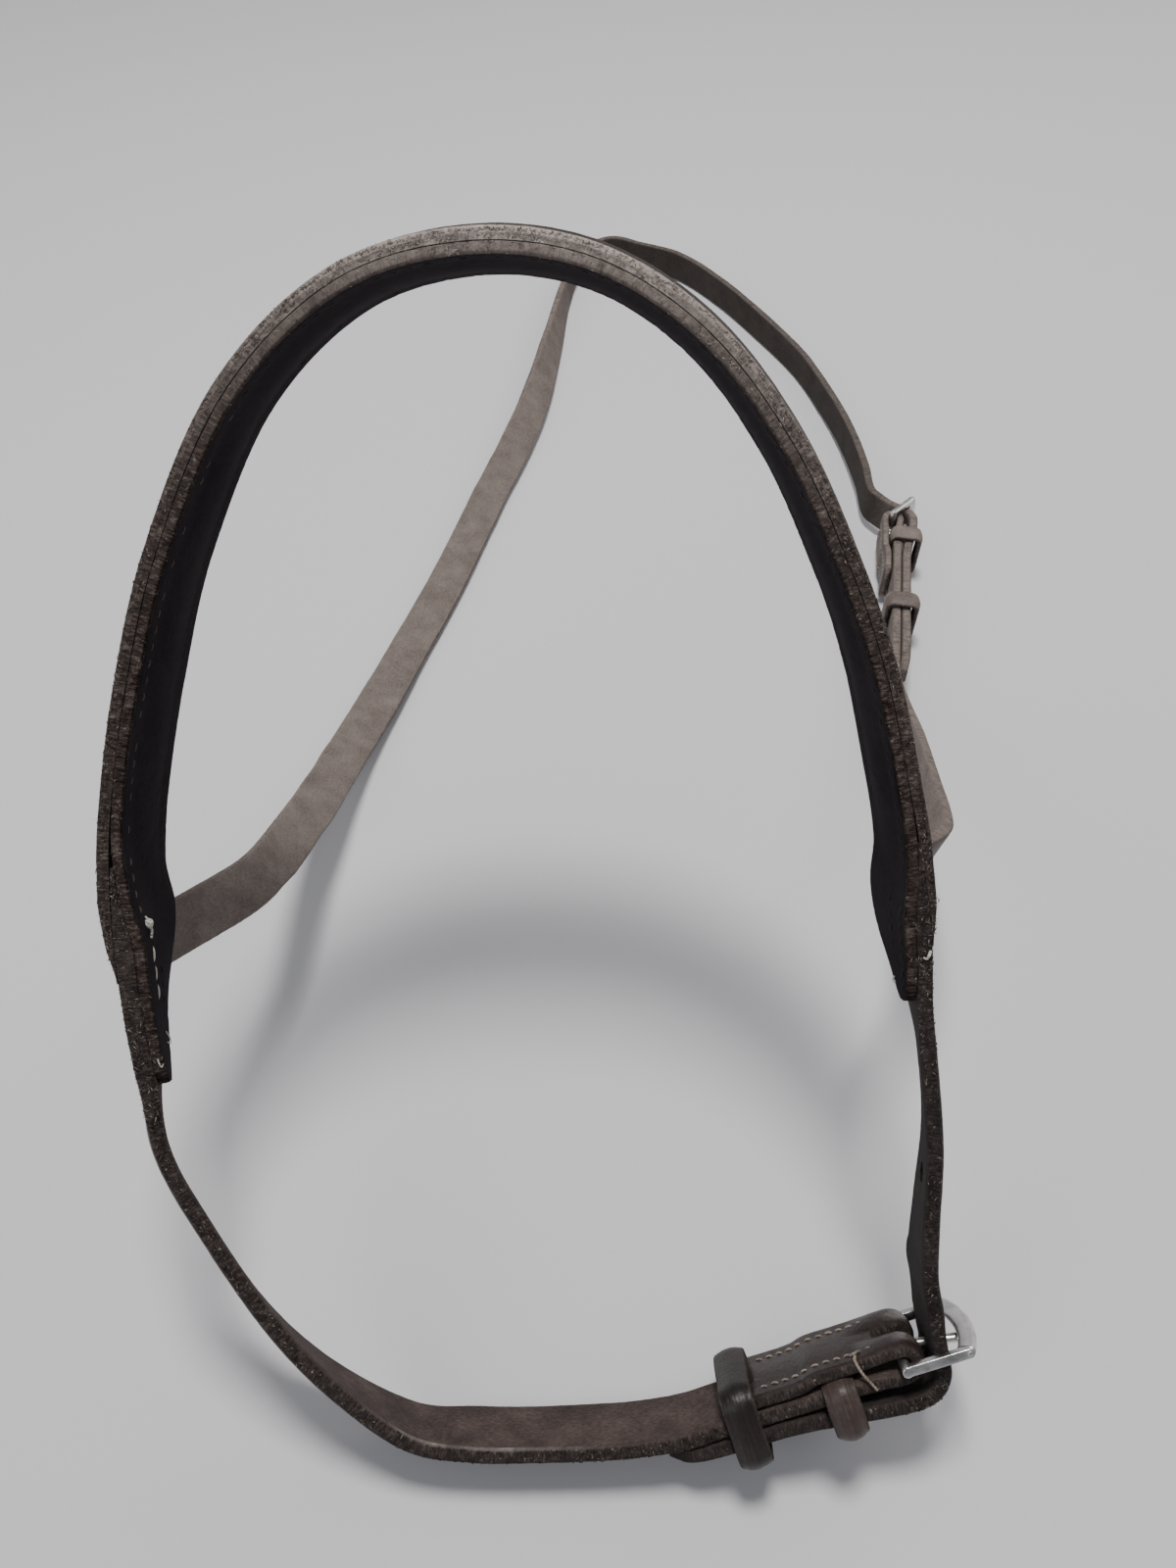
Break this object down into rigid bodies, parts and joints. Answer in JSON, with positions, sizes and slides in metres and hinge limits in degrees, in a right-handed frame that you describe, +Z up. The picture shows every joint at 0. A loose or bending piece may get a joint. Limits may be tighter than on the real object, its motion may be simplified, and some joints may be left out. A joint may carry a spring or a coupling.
{
  "type": "cavesson noseband",
  "caption": "Padded leather cavesson noseband: arched two-layer nosepiece, buckled chin strap with keepers, and a long head strap closing on a cheek strap at its own buckle.",
  "frame": {"origin": "centre of the footprint, on the surface the noseband rests on", "axes": "+Z up; +Y from the chin strap towards the far end of the head strap; +X towards the side with the buckles"},
  "size_m": [0.2138, 0.5198, 0.1858],
  "materials": {
    "bridle_leather": "dark brown waxed leather with raw fibrous edges",
    "lining_leather": "smooth near-black lining leather",
    "padding": "felt padding, hidden",
    "thread": "waxed linen thread",
    "buckle_steel": "worn bright steel"
  },
  "bodies": {
    "noseband": {"nose_band": "bridle_leather", "nose_lining": "lining_leather", "nose_padding": "padding", "nose_stitching_near": "thread", "nose_stitching_far": "thread", "left_joint_stitching": "thread", "right_joint_stitching": "thread", "chin_buckle_strap": "bridle_leather", "chin_billet": "bridle_leather", "chin_fixed_keeper": "bridle_leather", "chin_stitching": "thread", "cheek_strap": "bridle_leather", "head_strap": "bridle_leather", "head_fixed_keeper": "bridle_leather", "head_stitching": "thread"},
    "chin_buckle": {"chin_buckle_frame": "buckle_steel"},
    "chin_tongue": {"chin_buckle_tongue": "buckle_steel"},
    "chin_runner": {"chin_running_keeper": "bridle_leather"},
    "head_buckle": {"head_buckle_frame": "buckle_steel"},
    "head_tongue": {"head_buckle_tongue": "buckle_steel"},
    "head_runner": {"head_running_keeper": "bridle_leather"}
  },
  "joints": [
    {"name": "chin_buckle_hinge", "type": "hinge", "parent": "noseband", "child": "chin_buckle", "pos_m": [0.04816, -0.24357, 0.02866], "axis": [0.041, 0.6705, -0.7408], "range_deg": [-4, 4]},
    {"name": "chin_tongue_hinge", "type": "hinge", "parent": "chin_buckle", "child": "chin_tongue", "pos_m": [0.04816, -0.24357, 0.02866], "axis": [0.041, 0.6705, -0.7408], "range_deg": [0, 7]},
    {"name": "chin_runner_slide", "type": "slide", "parent": "noseband", "child": "chin_runner", "axis": [0.9455, 0.2136, 0.2457], "range_m": [-0.008, 0.006]},
    {"name": "head_buckle_hinge", "type": "hinge", "parent": "noseband", "child": "head_buckle", "pos_m": [0.09566, 0.03944, 0.01552], "axis": [0, 0, -1], "range_deg": [-4, 4]},
    {"name": "head_tongue_hinge", "type": "hinge", "parent": "head_buckle", "child": "head_tongue", "pos_m": [0.09566, 0.03944, 0.01552], "axis": [0, 0, -1], "range_deg": [0, 7]},
    {"name": "head_runner_slide", "type": "slide", "parent": "noseband", "child": "head_runner", "axis": [0.1736, 0.9848, 0], "range_m": [-0.0165, 0.0115]}
  ]
}
